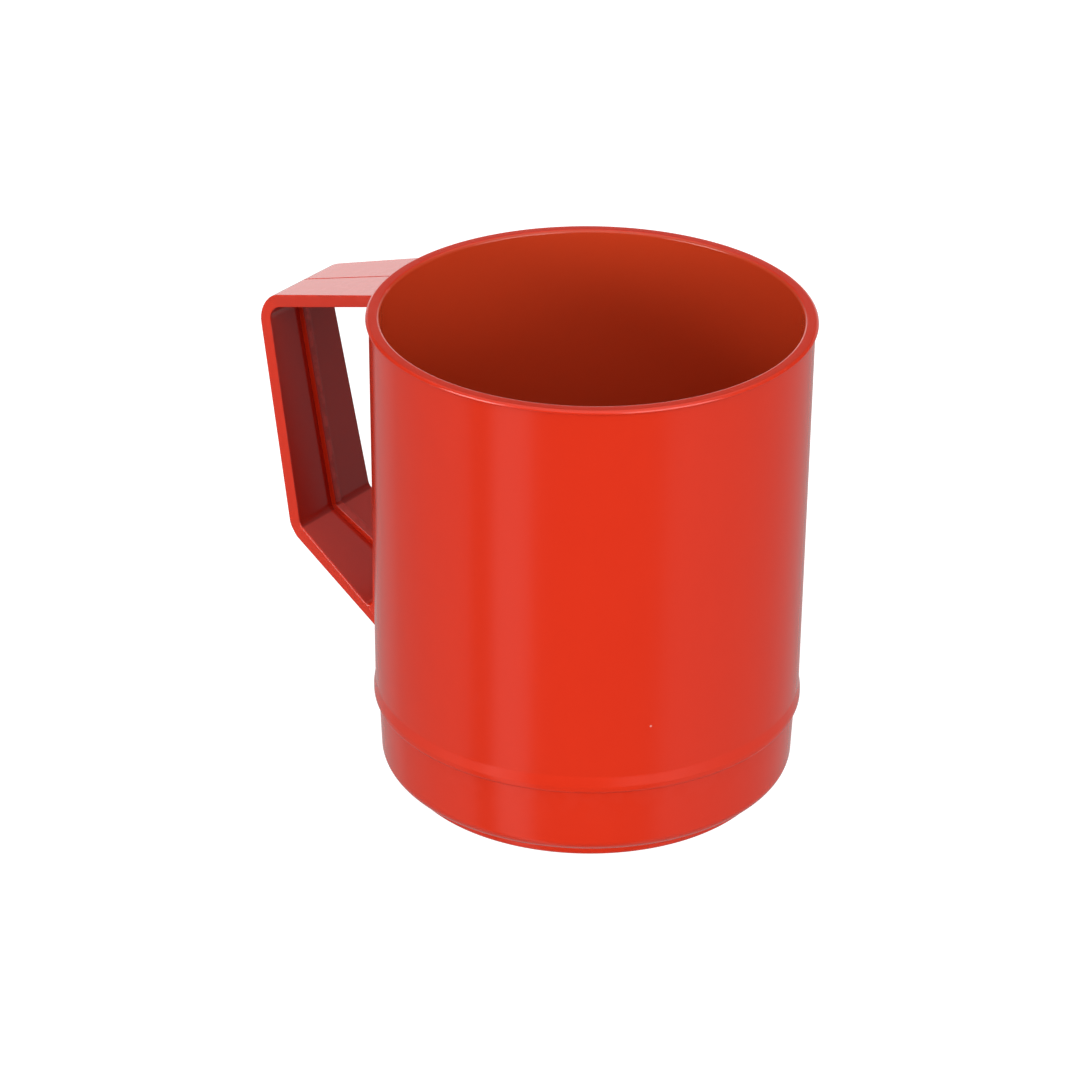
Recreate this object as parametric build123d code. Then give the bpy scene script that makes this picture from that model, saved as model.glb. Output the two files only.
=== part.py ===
from build123d import *
import math
import os

# Flour sifter, shake type. Millimetres, +Z up.
# Origin: on the cup's axis, in the plane that the base stands on. The handle points along -X.

# --- Cup: driving dimensions -------------------------------------------------
RIM_RADIUS = 55.0
CUP_HEIGHT = 124.5
WALL = 2.65
RIM_OVERHANG = 0.75
RIM_THICKNESS = 1.0
RIM_OUTER_ROUNDING = 0.45
RIM_UNDER_ROUNDING = 0.22
RIM_INNER_ROUNDING = 0.8
LEDGE_HEIGHT = 21.2
BODY_DRAFT = 0.7
LIP_FLARE = 0.45
LIP_FLARE_LENGTH = 4.6
LIP_HEIGHT = 1.84
LIP_ROUNDING = 0.9
SOCKET_DEPTH = 8.0

BODY_TOP_RADIUS = RIM_RADIUS - RIM_OVERHANG
BODY_LOW_RADIUS = BODY_TOP_RADIUS - BODY_DRAFT
LIP_RADIUS = BODY_LOW_RADIUS + LIP_FLARE
INNER_TOP_RADIUS = BODY_TOP_RADIUS - WALL
INNER_LOW_RADIUS = BODY_LOW_RADIUS - WALL
SHOULDER_HEIGHT = LEDGE_HEIGHT + SOCKET_DEPTH

# --- Base basket: the rounded base that plugs into the cup --------------------
BASE_TOP_RADIUS = 52.75
BASE_LOW_RADIUS = 52.0
BASE_ROUNDING = 3.3
BASE_WALL = 2.0
PLUG_RADIUS = 52.0
PLUG_CLEARANCE = 0.05
PLUG_LEAD_IN = 1.0
SEAT_GAP = 0.05
FOOT_RADIUS = 47.7
FOOT_HEIGHT = 3.3
FOOT_WIDTH = 3.2
FOOT_ROUNDING = 1.2
FOOT_INNER_ROUNDING = 0.6
SPOKE_COUNT = 4
SPOKE_WIDTH = 3.0
SPOKE_ROOT = 1.0
SPOKE_CLEAR_OF_TABLE = 1.5
BOSS_RADIUS = 6.5

SOCKET_RADIUS = PLUG_RADIUS + PLUG_CLEARANCE
BASE_INNER_RADIUS = PLUG_RADIUS - BASE_WALL
OUTLET_RADIUS = FOOT_RADIUS - FOOT_WIDTH
FLOOR_TOP = FOOT_HEIGHT + BASE_WALL

# --- Screen: woven wires held in a pressed channel ----------------------------
WIRE_RADIUS = 0.18
WIRE_LAYER = 0.4
WIRE_PITCH = 1.6
SHEET = 0.35
CHANNEL_RADIUS = 47.4
CHANNEL_LIP_WIDTH = 2.8
BAND_WIDTH = 1.3
SEAT_CLEARANCE = 0.15

SCREEN_BOTTOM = FLOOR_TOP + SHEET
SCREEN_MIDDLE = SCREEN_BOTTOM + WIRE_LAYER
SCREEN_TOP = SCREEN_MIDDLE + WIRE_LAYER
CHANNEL_TOP = SCREEN_TOP + SHEET

# --- Clamp ring, pressed in over the channel -------------------------------------
CLAMP_INNER_RADIUS = 44.8
CLAMP_INNER_HEIGHT = 0.9
CLAMP_OUTER_HEIGHT = 4.6
CLAMP_TOP_WIDTH = 0.8
CLAMP_ROUNDING = 0.4

# --- Pivot pin and agitator ---------------------------------------------------
PIN_RADIUS = 2.0
PIN_HEAD_RADIUS = 4.2
PIN_HEAD_HEIGHT = 0.7
PIN_HEAD_ROUNDING = 0.42
PIN_END_CHAMFER = 0.4
WASHER_RADIUS = 6.0
WASHER_THICKNESS = 0.5
BORE_CLEARANCE = 0.05
END_PLAY = 0.3
HUB_RADIUS = 6.5
HUB_HEIGHT = 14.0
HUB_FLANGE_RADIUS = 8.0
HUB_FLANGE_HEIGHT = 2.6
HUB_EDGE = 0.8
CAP_RADIUS = 5.0
CAP_HEIGHT = 4.6
CAP_ROOF = 1.2
CAP_ROUNDING = 2.0
LOOP_COUNT = 4
LOOP_WIRE_RADIUS = 1.0
LOOP_REACH = 41.0
LOOP_CORNER_RADIUS = 4.6
LOOP_ROOT_RADIUS = 3.4
LOOP_SOCKET_CLEARANCE = 0.02
LOOP_END_INSET = 1.9
AGITATOR_REST_ANGLE = 30.0

BOSS_TOP = SCREEN_BOTTOM - WASHER_THICKNESS
UPPER_WASHER_TOP = SCREEN_TOP + WASHER_THICKNESS
HUB_BOTTOM = UPPER_WASHER_TOP + END_PLAY
HUB_TOP = HUB_BOTTOM + HUB_HEIGHT
THRUST_WASHER_BOTTOM = HUB_TOP + END_PLAY
THRUST_WASHER_TOP = THRUST_WASHER_BOTTOM + WASHER_THICKNESS
PIN_TOP = THRUST_WASHER_TOP + CAP_HEIGHT - CAP_ROOF
LOOP_LOW = HUB_BOTTOM + LOOP_END_INSET
LOOP_HIGH = HUB_TOP - LOOP_END_INSET

# --- Handle: a closed strap loop in two halves ---------------------------------
STRAP_THICKNESS = 3.5
STRAP_TOP_ROOT = (54.0, 120.5)
STRAP_TOP_CORNER = (95.6, 108.3)
STRAP_LOW_CORNER = (84.15, 45.7)
STRAP_LOW_ROOT = (53.5, 29.4)
STRAP_OUTER_RADII = (8.0, 5.8)
STRAP_INNER_RADII = (3.6, 2.4)
HALF_WIDTHS = (15.8, 12.2, 14.7, 19.0)
BACK_LEG_FACE_TOP = 55.2
BACK_LEG_FACE_LOW = 54.3
ROOT_RADIUS = 48.0
RIB_HALF_WIDTH = 1.3
RIB_HEIGHT = 1.5
SEAM_HALF_WIDTH = 0.35
SEAM_DEPTH = 0.3
HALF_GAP = 0.02
PEG_RADIUS = 0.9
PEG_LENGTH = 3.0
PEG_CLEARANCE = 0.05


def body_radius(height):
    """Outer radius of the drafted cup wall at a height."""
    span = CUP_HEIGHT - LEDGE_HEIGHT
    return BODY_LOW_RADIUS + BODY_DRAFT * (height - LEDGE_HEIGHT) / span


def disc(radius, bottom, top):
    """An upright cylinder on the Z axis between two heights."""
    return Pos(0, 0, bottom) * Cylinder(radius, top - bottom, align=(Align.CENTER, Align.CENTER, Align.MIN))


def ring(outer, inner, bottom, top):
    """A flat ring on the Z axis between two heights."""
    return disc(outer, bottom, top) - disc(inner, bottom, top)


def turned(corners):
    """A solid turned about Z from the (radius, height, rounding) corners of its section."""
    points = [(radius, height) for radius, height, _ in corners]
    roundings = [rounding for _, _, rounding in corners]
    outline = FilletPolyline(*points, radius=roundings, close=True)
    return revolve(Plane.XZ * make_face(outline), Axis.Z)


def around_axis(shape, count):
    """Copies of a shape, evenly turned about Z, starting with the shape itself."""
    return [Rot(0, 0, index * 360.0 / count) * shape for index in range(count)]


# --- Cup -------------------------------------------------------------------------
def make_cup_body():
    """The cup: a drafted wall with a rim flange, a flared lower lip and the base's socket."""
    flange_bottom = CUP_HEIGHT - RIM_THICKNESS
    flare_start = LEDGE_HEIGHT + LIP_FLARE_LENGTH
    flare_end = LEDGE_HEIGHT + LIP_HEIGHT
    return turned(
        [
            (RIM_RADIUS, CUP_HEIGHT, RIM_OUTER_ROUNDING),
            (RIM_RADIUS, flange_bottom, RIM_UNDER_ROUNDING),
            (body_radius(flange_bottom), flange_bottom, RIM_UNDER_ROUNDING),
            (body_radius(flare_start), flare_start, LIP_FLARE_LENGTH),
            (LIP_RADIUS, flare_end, LIP_ROUNDING),
            (LIP_RADIUS, LEDGE_HEIGHT, LIP_ROUNDING),
            (SOCKET_RADIUS, LEDGE_HEIGHT, 0),
            (SOCKET_RADIUS, SHOULDER_HEIGHT, 0),
            (INNER_LOW_RADIUS, SHOULDER_HEIGHT, 0),
            (INNER_TOP_RADIUS, CUP_HEIGHT, RIM_INNER_ROUNDING),
        ]
    )


# --- Base basket -------------------------------------------------------------------
def make_basket_shell():
    """The basket's wall: a plug, a drafted side, a rounded edge, a floor ring and a foot ring."""
    plug_top = SHOULDER_HEIGHT - SEAT_GAP
    step = LEDGE_HEIGHT - SEAT_GAP
    return turned(
        [
            (BASE_LOW_RADIUS, FOOT_HEIGHT, BASE_ROUNDING),
            (BASE_TOP_RADIUS, step, 0),
            (PLUG_RADIUS, step, 0),
            (PLUG_RADIUS, plug_top, 0),
            (BASE_INNER_RADIUS + PLUG_LEAD_IN, plug_top, 0),
            (BASE_INNER_RADIUS, plug_top - PLUG_LEAD_IN, 0),
            (BASE_INNER_RADIUS, FLOOR_TOP, 0),
            (OUTLET_RADIUS, FLOOR_TOP, 0),
            (OUTLET_RADIUS, 0, FOOT_INNER_ROUNDING),
            (FOOT_RADIUS, 0, FOOT_ROUNDING),
            (FOOT_RADIUS, FOOT_HEIGHT, 0),
        ]
    )


def make_spider():
    """The four spokes and the pin's boss, under the screen."""
    reach = OUTLET_RADIUS + SPOKE_ROOT
    spoke_height = FLOOR_TOP - SPOKE_CLEAR_OF_TABLE
    spoke = Pos(0, 0, SPOKE_CLEAR_OF_TABLE) * Box(
        reach, SPOKE_WIDTH, spoke_height, align=(Align.MIN, Align.CENTER, Align.MIN)
    )
    spider = disc(BOSS_RADIUS, SPOKE_CLEAR_OF_TABLE, FLOOR_TOP)
    for arm in around_axis(spoke, SPOKE_COUNT):
        spider += arm
    washer_room = disc(WASHER_RADIUS + SEAT_CLEARANCE, BOSS_TOP, SCREEN_TOP)
    return spider - washer_room


def make_base_basket():
    """The basket in one moulding, with the pin's hole through its boss."""
    basket = make_basket_shell() + make_spider()
    return basket - disc(PIN_RADIUS + BORE_CLEARANCE, 0, BOSS_TOP)


# --- Screen --------------------------------------------------------------------------
def make_screen_wires(bottom):
    """One layer of parallel wires along X, their ends in a thin band, with a hole for the pin."""
    band_outer = CHANNEL_RADIUS - SHEET
    band_inner = band_outer - BAND_WIDTH
    end_radius = band_outer - BAND_WIDTH * 0.5
    centre = bottom + WIRE_LAYER * 0.5
    layer = ring(band_outer, band_inner, bottom, bottom + WIRE_LAYER)
    count = int((band_inner - WIRE_PITCH * 0.5) / WIRE_PITCH)
    wires = []
    for index in range(-count, count + 1):
        offset = index * WIRE_PITCH
        half_length = math.sqrt(end_radius**2 - offset**2)
        wires.append(Pos(0, offset, centre) * Rot(0, 90, 0) * Cylinder(WIRE_RADIUS, 2 * half_length))
    layer = layer.fuse(*wires)
    return layer - disc(PIN_RADIUS + SEAT_CLEARANCE, bottom, bottom + WIRE_LAYER)


def make_screen_rim():
    """The pressed channel round the screen's edge, open inwards."""
    channel = ring(CHANNEL_RADIUS, CHANNEL_RADIUS - CHANNEL_LIP_WIDTH, FLOOR_TOP, CHANNEL_TOP)
    throat = disc(CHANNEL_RADIUS - SHEET, SCREEN_BOTTOM, SCREEN_TOP)
    return channel - throat


def make_screen_clamp():
    """The ring over the channel: it stands on the floor ring, and slopes down to the screen."""
    outer = BASE_INNER_RADIUS - SEAT_CLEARANCE
    channel_side = CHANNEL_RADIUS + SEAT_CLEARANCE
    inner_top = CHANNEL_TOP + CLAMP_INNER_HEIGHT
    outer_top = CHANNEL_TOP + CLAMP_OUTER_HEIGHT
    return turned(
        [
            (outer, FLOOR_TOP, 0),
            (outer, outer_top, CLAMP_ROUNDING),
            (outer - CLAMP_TOP_WIDTH, outer_top, CLAMP_ROUNDING),
            (CLAMP_INNER_RADIUS, inner_top, CLAMP_ROUNDING),
            (CLAMP_INNER_RADIUS, CHANNEL_TOP, 0),
            (channel_side, CHANNEL_TOP, 0),
            (channel_side, FLOOR_TOP, 0),
        ]
    )


# --- Pivot ---------------------------------------------------------------------------
def make_pivot_pin():
    """The pin: a low head under the boss and a plain shank up to the cap."""
    head_bottom = SPOKE_CLEAR_OF_TABLE - PIN_HEAD_HEIGHT
    head = disc(PIN_HEAD_RADIUS, head_bottom, SPOKE_CLEAR_OF_TABLE)
    head = fillet(head.edges().group_by(Axis.Z)[0], PIN_HEAD_ROUNDING)
    shank = disc(PIN_RADIUS, SPOKE_CLEAR_OF_TABLE, PIN_TOP)
    shank = chamfer(shank.edges().group_by(Axis.Z)[-1], PIN_END_CHAMFER)
    return head + shank


def make_washer(bottom):
    """A flat washer on the pin."""
    return ring(WASHER_RADIUS, PIN_RADIUS + BORE_CLEARANCE, bottom, bottom + WASHER_THICKNESS)


def make_pin_cap():
    """The push-on cap that holds the stack on the pin."""
    cap = disc(CAP_RADIUS, THRUST_WASHER_TOP, THRUST_WASHER_TOP + CAP_HEIGHT)
    cap = fillet(cap.edges().group_by(Axis.Z)[-1], CAP_ROUNDING)
    return cap - disc(PIN_RADIUS, THRUST_WASHER_TOP, PIN_TOP)


# --- Agitator ------------------------------------------------------------------------
def loop_path():
    """The bent line of one agitator loop, out along the top and back over the screen."""
    low_start = (LOOP_ROOT_RADIUS, 0, LOOP_LOW)
    low_end = (LOOP_REACH, 0, LOOP_LOW)
    high_end = (LOOP_REACH, 0, LOOP_HIGH)
    high_start = (LOOP_ROOT_RADIUS, 0, LOOP_HIGH)
    return FilletPolyline(low_start, low_end, high_end, high_start, radius=LOOP_CORNER_RADIUS)


def make_agitator_loop():
    """One stainless wire loop, both ends in the hub."""
    path = loop_path()
    profile = Plane(origin=path @ 0, z_dir=path % 0) * Circle(LOOP_WIRE_RADIUS)
    return sweep(profile, path=path)


def make_agitator_hub():
    """The hub: a barrel with a foot flange, a bore for the pin and sockets for the loops' ends."""
    barrel = disc(HUB_RADIUS, HUB_BOTTOM, HUB_TOP)
    barrel = fillet(barrel.edges().group_by(Axis.Z)[-1], HUB_EDGE)
    flange = disc(HUB_FLANGE_RADIUS, HUB_BOTTOM, HUB_BOTTOM + HUB_FLANGE_HEIGHT)
    flange = fillet(flange.edges().group_by(Axis.Z)[-1], HUB_EDGE)
    hub = barrel + flange - disc(PIN_RADIUS + BORE_CLEARANCE, HUB_BOTTOM, HUB_TOP)
    for height in (LOOP_LOW, LOOP_HIGH):
        socket = Pos(LOOP_ROOT_RADIUS, 0, height) * Rot(0, 90, 0) * Cylinder(
            LOOP_WIRE_RADIUS + LOOP_SOCKET_CLEARANCE,
            HUB_FLANGE_RADIUS,
            align=(Align.CENTER, Align.CENTER, Align.MIN),
        )
        for hole in around_axis(socket, LOOP_COUNT):
            hub -= hole
    return hub


# --- Handle --------------------------------------------------------------------------
def handle_outline():
    """The strap's outer line in side view as (x, z) points, root to root."""
    points = (STRAP_TOP_ROOT, STRAP_TOP_CORNER, STRAP_LOW_CORNER, STRAP_LOW_ROOT)
    return [(-radius, height) for radius, height in points]


def run_line(start, end, inset):
    """A straight line moved sideways by inset towards the cup, as a point and a direction."""
    length = math.dist(start, end)
    along = ((end[0] - start[0]) / length, (end[1] - start[1]) / length)
    inward = (-along[1], along[0])
    return (start[0] + inward[0] * inset, start[1] + inward[1] * inset), along


def crossing(first, second):
    """Where two lines given as a point and a direction cross."""
    (x1, z1), (dx1, dz1) = first
    (x2, z2), (dx2, dz2) = second
    turn = dx1 * dz2 - dz1 * dx2
    step = ((x2 - x1) * dz2 - (z2 - z1) * dx2) / turn
    return (x1 + dx1 * step, z1 + dz1 * step)


def loop_face(inset, corner_radii, inner_face):
    """The filled side view of the strap's loop, moved inwards by inset, closed near the cup."""
    points = handle_outline()
    runs = [run_line(points[index], points[index + 1], inset) for index in range(3)]
    top_corner = crossing(runs[0], runs[1])
    low_corner = crossing(runs[1], runs[2])
    top_root = crossing(runs[0], inner_face)
    low_root = crossing(runs[2], inner_face)
    points = (top_root, top_corner, low_corner, low_root)
    outline = FilletPolyline(*points, radius=(0, *corner_radii, 0), close=True)
    return Plane.XZ * make_face(outline)


def side_prism(face, near, far):
    """A side-view face given thickness along Y, between two distances from the middle."""
    return Pos(0, far, 0) * extrude(face, far - near)


def width_prism(half_widths, heights):
    """A block as long as the handle whose width changes with height."""
    right = list(zip(half_widths, heights))
    left = [(-width, height) for width, height in reversed(right)]
    face = Plane.YZ * make_face(Polyline(*right, *left, close=True))
    return Pos(-2 * RIM_RADIUS, 0, 0) * extrude(face, 2 * RIM_RADIUS)


def grown(radii, amount):
    """The corner radii made larger, or smaller, by an amount."""
    return tuple(radius + amount for radius in radii)


def cup_core():
    """Everything inside the cup's outer wall, which the handle's back leg fits against."""
    low = BODY_LOW_RADIUS
    high = BODY_TOP_RADIUS
    return turned([(0, LEDGE_HEIGHT, 0), (low, LEDGE_HEIGHT, 0), (high, CUP_HEIGHT, 0), (0, CUP_HEIGHT, 0)])


def make_handle():
    """The whole handle before it is split: strap, back leg, inner rib and seam groove."""
    points = handle_outline()
    root_line = ((-ROOT_RADIUS, 0.0), (0.0, 1.0))
    tilt = (BACK_LEG_FACE_LOW - BACK_LEG_FACE_TOP) / (STRAP_TOP_ROOT[1] - STRAP_LOW_ROOT[1])
    back_line = ((-BACK_LEG_FACE_LOW, STRAP_LOW_ROOT[1]), (tilt, 1.0))
    outer = loop_face(0, STRAP_OUTER_RADII, root_line)
    inner = loop_face(STRAP_THICKNESS, STRAP_INNER_RADII, back_line)
    widest = max(HALF_WIDTHS)
    loop = side_prism(outer, -widest, widest) - side_prism(inner, -widest, widest)
    heights = [height for _, height in points]
    near_cup = Pos(-BACK_LEG_FACE_TOP, 0, 0) * Box(
        BACK_LEG_FACE_TOP, 2 * widest, 2 * CUP_HEIGHT, align=(Align.MIN, Align.CENTER, Align.CENTER)
    )
    strap = loop & width_prism(HALF_WIDTHS, heights)
    back_leg = loop & width_prism((HALF_WIDTHS[0], HALF_WIDTHS[-1]), (heights[0], heights[-1])) & near_cup
    rib_inner = loop_face(STRAP_THICKNESS + RIB_HEIGHT, grown(STRAP_INNER_RADII, -RIB_HEIGHT), back_line)
    rib = side_prism(inner, -RIB_HALF_WIDTH, RIB_HALF_WIDTH) - side_prism(rib_inner, -RIB_HALF_WIDTH, RIB_HALF_WIDTH)
    seam_inner = loop_face(SEAM_DEPTH, grown(STRAP_OUTER_RADII, -SEAM_DEPTH), root_line)
    seam = side_prism(outer, -SEAM_HALF_WIDTH, SEAM_HALF_WIDTH) - side_prism(
        seam_inner, -SEAM_HALF_WIDTH, SEAM_HALF_WIDTH
    )
    return strap + back_leg + rib - seam - cup_core()


def peg_places():
    """Where the two halves' pegs stand: the middle of each run of the strap."""
    points = handle_outline()
    places = []
    for index in range(3):
        start, along = run_line(points[index], points[index + 1], STRAP_THICKNESS * 0.5)
        half = math.dist(points[index], points[index + 1]) * 0.5
        places.append((start[0] + along[0] * half, start[1] + along[1] * half))
    return places


def peg(radius, length, place):
    """A peg or its hole, from the handle's mid-plane towards the front (-Y) half."""
    return Pos(place[0], 0, place[1]) * Rot(90, 0, 0) * Cylinder(
        radius, length, align=(Align.CENTER, Align.CENTER, Align.MIN)
    )


def make_handle_halves():
    """The front and rear halves, with pegs on the rear one and holes in the front one."""
    handle = make_handle()
    size = 3 * CUP_HEIGHT
    front = handle & Pos(0, -HALF_GAP * 0.5, 0) * Box(size, size, size, align=(Align.CENTER, Align.MAX, Align.CENTER))
    rear = handle & Pos(0, HALF_GAP * 0.5, 0) * Box(size, size, size, align=(Align.CENTER, Align.MIN, Align.CENTER))
    for place in peg_places():
        front -= peg(PEG_RADIUS + PEG_CLEARANCE, PEG_LENGTH + PEG_CLEARANCE, place)
        rear += Pos(0, HALF_GAP, 0) * peg(PEG_RADIUS, PEG_LENGTH + HALF_GAP, place)
    return front, rear


def make_nodes():
    """Every separate piece of the sifter, by name."""
    handle_front_half, handle_rear_half = make_handle_halves()
    at_rest_angle = Rot(0, 0, AGITATOR_REST_ANGLE)
    nodes = {
        "cup_body": make_cup_body(),
        "handle_front_half": handle_front_half,
        "handle_rear_half": handle_rear_half,
        "base_basket": make_base_basket(),
        "screen_weft_wires": make_screen_wires(SCREEN_BOTTOM),
        "screen_warp_wires": Rot(0, 0, 90) * make_screen_wires(SCREEN_MIDDLE),
        "screen_rim": make_screen_rim(),
        "screen_clamp": make_screen_clamp(),
        "pivot_pin": make_pivot_pin(),
        "pin_washer_lower": make_washer(BOSS_TOP),
        "pin_washer_upper": make_washer(SCREEN_TOP),
        "hub_thrust_washer": make_washer(THRUST_WASHER_BOTTOM),
        "pin_cap": make_pin_cap(),
        "agitator_hub": at_rest_angle * make_agitator_hub(),
    }
    for index, loop in enumerate(around_axis(make_agitator_loop(), LOOP_COUNT), start=1):
        nodes[f"agitator_loop_{index}"] = at_rest_angle * loop
    return nodes


def main():
    """Write one STEP file for each piece."""
    os.makedirs("parts", exist_ok=True)
    for name, shape in make_nodes().items():
        export_step(shape, f"parts/{name}.step")


if __name__ == "__main__":
    main()
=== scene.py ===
"""Looks of a shake-type flour sifter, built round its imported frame.

Lengths are in millimetres, and every finished mesh is scaled to metres as it becomes a piece.
The handle points along -X, and the origin is on the cup's axis in the plane that the base stands on.
"""

from __future__ import annotations

import logging
import math
from dataclasses import dataclass
from enum import Enum
from typing import Callable, Sequence

import bmesh
import bpy
from bmesh.types import BMEdge, BMesh, BMFace, BMVert
from bpy.types import ColorRamp, Material, Node, NodeOutputs, NodeSocket, NodeTree, Object
from mathutils import Matrix, Quaternion, Vector

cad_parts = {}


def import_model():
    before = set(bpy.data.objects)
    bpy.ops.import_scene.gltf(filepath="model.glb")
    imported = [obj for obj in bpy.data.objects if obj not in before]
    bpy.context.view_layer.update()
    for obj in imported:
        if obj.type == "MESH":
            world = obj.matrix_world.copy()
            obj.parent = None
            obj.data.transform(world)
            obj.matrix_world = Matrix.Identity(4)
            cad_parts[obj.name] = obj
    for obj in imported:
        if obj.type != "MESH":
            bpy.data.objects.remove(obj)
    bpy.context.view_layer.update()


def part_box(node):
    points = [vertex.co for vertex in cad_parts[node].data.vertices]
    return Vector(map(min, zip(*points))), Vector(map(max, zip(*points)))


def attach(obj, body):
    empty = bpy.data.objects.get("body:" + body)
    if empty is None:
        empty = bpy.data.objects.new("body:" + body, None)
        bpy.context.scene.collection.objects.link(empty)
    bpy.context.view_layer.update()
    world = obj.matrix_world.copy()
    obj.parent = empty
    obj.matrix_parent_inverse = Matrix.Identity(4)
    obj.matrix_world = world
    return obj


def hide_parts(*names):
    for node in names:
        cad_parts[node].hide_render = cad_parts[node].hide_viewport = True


LOG = logging.getLogger("flour_sifter")

Tones = tuple[tuple[float, float], ...]
Results = dict[str, NodeSocket]
Colour = tuple[float, float, float, float]

MM = 0.001
WELD_DISTANCE = 0.0005
CREASE_ANGLE = math.radians(32.0)
QUARTER_TURN = math.radians(90.0)
ROUND_PROFILE = 0.5
LARGE_TURN_STEPS = 256
SMALL_TURN_STEPS = 96
OPENING_MIDDLE = Vector((-72.0, 0.0, 78.0))
LEDGE_GAP = 0.05


class Body(Enum):
    """The moving bodies of the sifter."""

    CUP = "cup"
    BASE_UNIT = "base_unit"
    AGITATOR = "agitator"


class Slot(Enum):
    """The record's material slots."""

    RED_PLASTIC = "red_plastic"
    PRESSED_STAINLESS = "pressed_stainless"
    SCREEN_WIRE = "screen_wire"
    TURNED_STAINLESS = "turned_stainless"
    WHITE_PLASTIC = "white_plastic"


class Side(Enum):
    """The two halves of the handle, by the sign of Y."""

    FRONT = -1
    REAR = 1


# --- Node sheets and shared effects ---------------------------------------------------


class NodeSheet:
    """A node tree with short calls that add nodes and join them."""

    def __init__(self, tree: NodeTree) -> None:
        """Empty the node tree of a material, a world or a group, and start there."""
        self.tree = tree
        tree.nodes.clear()

    def add(self, kind: str, inputs: dict | None = None, **settings: object) -> Node:
        """Add a node, set its own settings, and set or join its inputs.

        Args:
            kind: The node's type name.
            inputs: Values or output sockets by input name or number.
            **settings: Properties of the node itself.

        Returns:
            The new node.
        """
        node = self.tree.nodes.new(kind)
        for name, value in settings.items():
            setattr(node, name, value)
        for key, value in (inputs or {}).items():
            if isinstance(value, NodeSocket):
                self.tree.links.new(value, node.inputs[key])
            else:
                node.inputs[key].default_value = value
        return node

    def math(self, operation: str, first: object, second: object = 0.0) -> NodeSocket:
        """Add a Math node on two values and return its result."""
        return self.add("ShaderNodeMath", {0: first, 1: second}, operation=operation).outputs[0]

    def times(self, first: object, second: object) -> NodeSocket:
        """Multiply two values."""
        return self.math("MULTIPLY", first, second)

    def plus(self, first: object, second: object) -> NodeSocket:
        """Add two values."""
        return self.math("ADD", first, second)

    def minus(self, first: object, second: object) -> NodeSocket:
        """Subtract the second value from the first."""
        return self.math("SUBTRACT", first, second)

    def ramp(self, value: object, low: float, high: float) -> NodeSocket:
        """Stretch a value so that low becomes 0 and high becomes 1, smoothly and clamped."""
        inputs = {"Value": value, "From Min": low, "From Max": high}
        return self.add("ShaderNodeMapRange", inputs, interpolation_type="SMOOTHSTEP").outputs[0]

    def mix(self, share: object, first: object, second: object) -> NodeSocket:
        """Mix two colours by a share and return the colour."""
        node = self.add("ShaderNodeMix", {0: share, 6: first, 7: second}, data_type="RGBA")
        return node.outputs[2]

    def place(self, stretch: Sequence[float] = (1.0, 1.0, 1.0)) -> NodeSocket:
        """Return the object's own coordinates, stretched along its axes."""
        coordinates = self.add("ShaderNodeTexCoord").outputs["Object"]
        mapping = self.add("ShaderNodeMapping", {"Vector": coordinates, "Scale": stretch})
        return mapping.outputs["Vector"]

    def noise(self, vector: object, scale: object, detail: float = 2.0) -> NodeSocket:
        """Return fractal noise over a vector, from 0 to 1."""
        inputs = {"Vector": vector, "Scale": scale, "Detail": detail}
        return self.add("ShaderNodeTexNoise", inputs).outputs[0]


def melt_flow(sheet: NodeSheet, given: NodeOutputs) -> Results:
    """Soft tone changes left by plastic flowing along the wall."""
    broad = sheet.noise(sheet.place((1.0, 1.0, 0.35)), given["Scale"], 3.0)
    fine_scale = sheet.times(given["Scale"], 7.0)
    fine = sheet.noise(sheet.place((1.0, 1.0, 0.6)), fine_scale, 4.0)
    mixed = sheet.plus(sheet.times(broad, 0.7), sheet.times(fine, 0.3))
    return {"Tone": sheet.ramp(mixed, 0.36, 0.64)}


def hairline_scratches(sheet: NodeSheet, given: NodeOutputs) -> Results:
    """Thin scratches from washing and handling, in two directions."""
    marks = []
    for stretch in ((1.0, 1.0, 0.04), (0.35, 0.35, 1.6)):
        bent = sheet.noise(sheet.place(stretch), given["Scale"], 1.0)
        line = sheet.math("ABSOLUTE", sheet.minus(bent, 0.5))
        thin = sheet.ramp(sheet.minus(0.012, line), 0.0, 0.012)
        patch = sheet.ramp(sheet.noise(sheet.place(), 95.0, 2.0), 0.52, 0.66)
        marks.append(sheet.times(thin, patch))
    return {"Mask": sheet.math("MAXIMUM", marks[0], marks[1])}


def edge_wear(sheet: NodeSheet, given: NodeOutputs) -> Results:
    """A broken mask along outer edges, where hands and worktops rub."""
    pointed = sheet.add("ShaderNodeNewGeometry").outputs["Pointiness"]
    edge = sheet.ramp(pointed, 0.515, 0.6)
    broken = sheet.ramp(sheet.noise(sheet.place(), 260.0, 4.0), 0.42, 0.6)
    mask = sheet.times(sheet.times(edge, broken), given["Amount"])
    return {"Mask": mask}


def dust_specks(sheet: NodeSheet, given: NodeOutputs) -> Results:
    """Sparse round specks of flour dust and moulding dirt."""
    cells = sheet.add("ShaderNodeTexVoronoi", {"Vector": sheet.place(), "Scale": given["Scale"]})
    near = sheet.ramp(sheet.minus(0.045, cells.outputs["Distance"]), 0.0, 0.02)
    drawn_lot = sheet.add("ShaderNodeSeparateColor", {"Color": cells.outputs["Color"]}).outputs[0]
    chosen = sheet.math("LESS_THAN", drawn_lot, given["Share"])
    return {"Mask": sheet.times(near, chosen)}


def moulded_skin(sheet: NodeSheet, given: NodeOutputs) -> Results:
    """The height of a moulded surface: slow waviness with a very fine peel."""
    wavy = sheet.noise(sheet.place((1.0, 1.0, 0.5)), given["Scale"], 1.0)
    peel_scale = sheet.times(given["Scale"], 22.0)
    peel = sheet.noise(sheet.place(), peel_scale, 2.0)
    return {"Height": sheet.plus(wavy, sheet.times(peel, 0.035))}


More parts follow.
